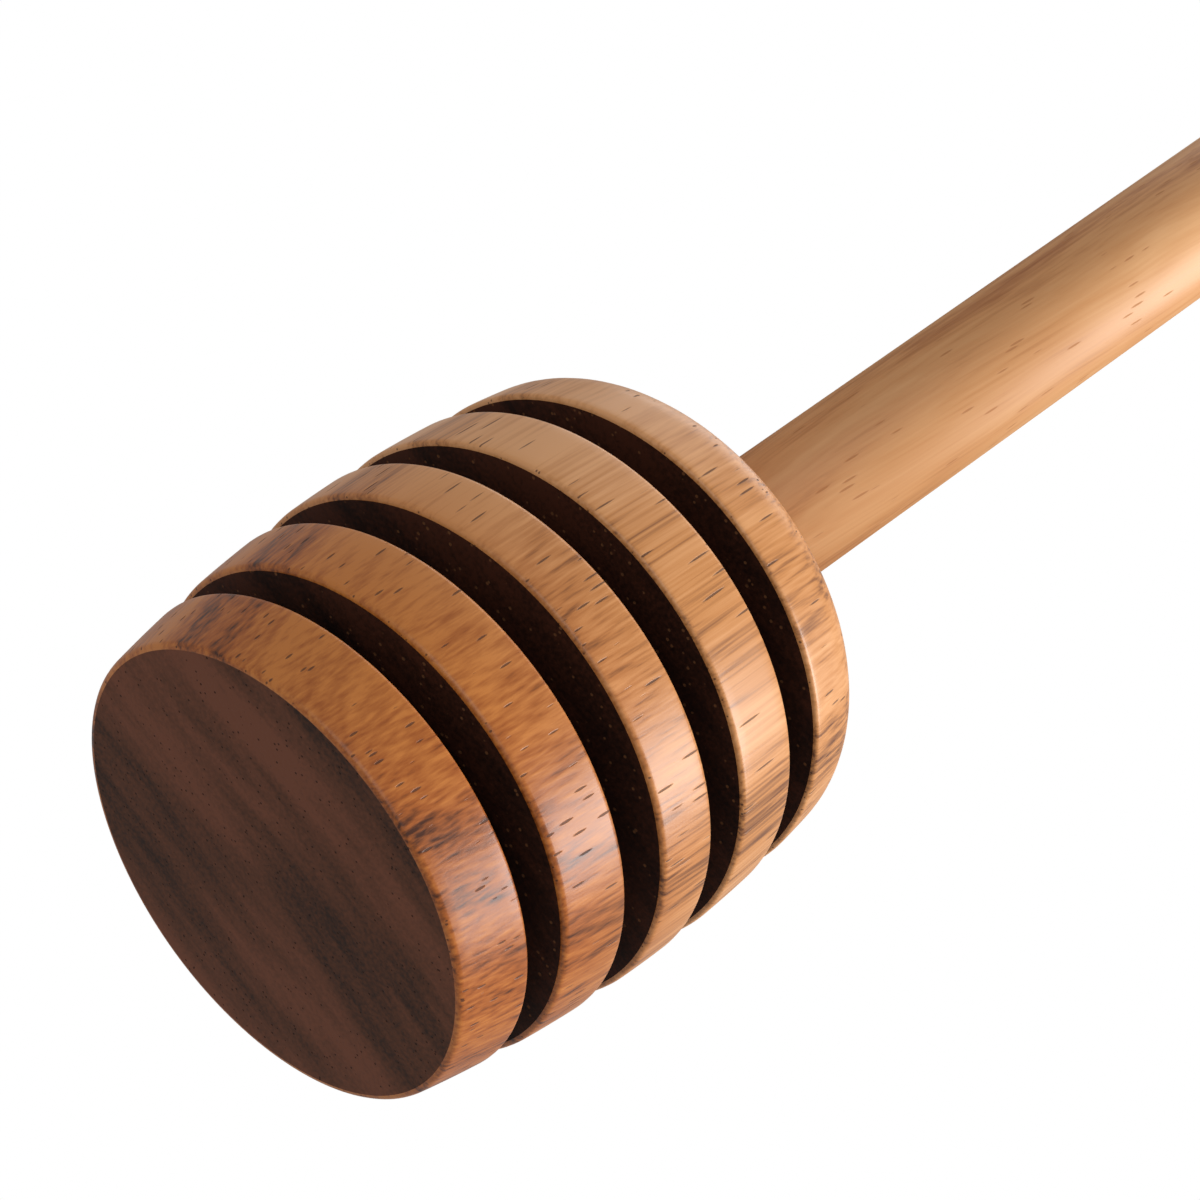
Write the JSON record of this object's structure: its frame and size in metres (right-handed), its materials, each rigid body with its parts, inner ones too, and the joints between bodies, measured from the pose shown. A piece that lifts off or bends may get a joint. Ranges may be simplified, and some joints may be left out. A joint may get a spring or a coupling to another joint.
{
  "type": "honey dipper",
  "caption": "Turned wooden honey dipper: a barrel-shaped grooved head glued onto a long, slightly tapered round handle with a rounded end.",
  "frame": {"origin": "centre of the flat front end of the head, on which the dipper stands", "axes": "+Z along the turning axis, from the flat end of the head towards the end of the handle"},
  "size_m": [0.036, 0.036, 0.1601],
  "materials": {
    "head_wood": "oiled satin",
    "handle_wood": "oiled satin",
    "wood_glue": "dried wood glue"
  },
  "bodies": {
    "root": {"head": "head_wood", "handle": "handle_wood", "glue_film": "wood_glue"}
  },
  "joints": []
}
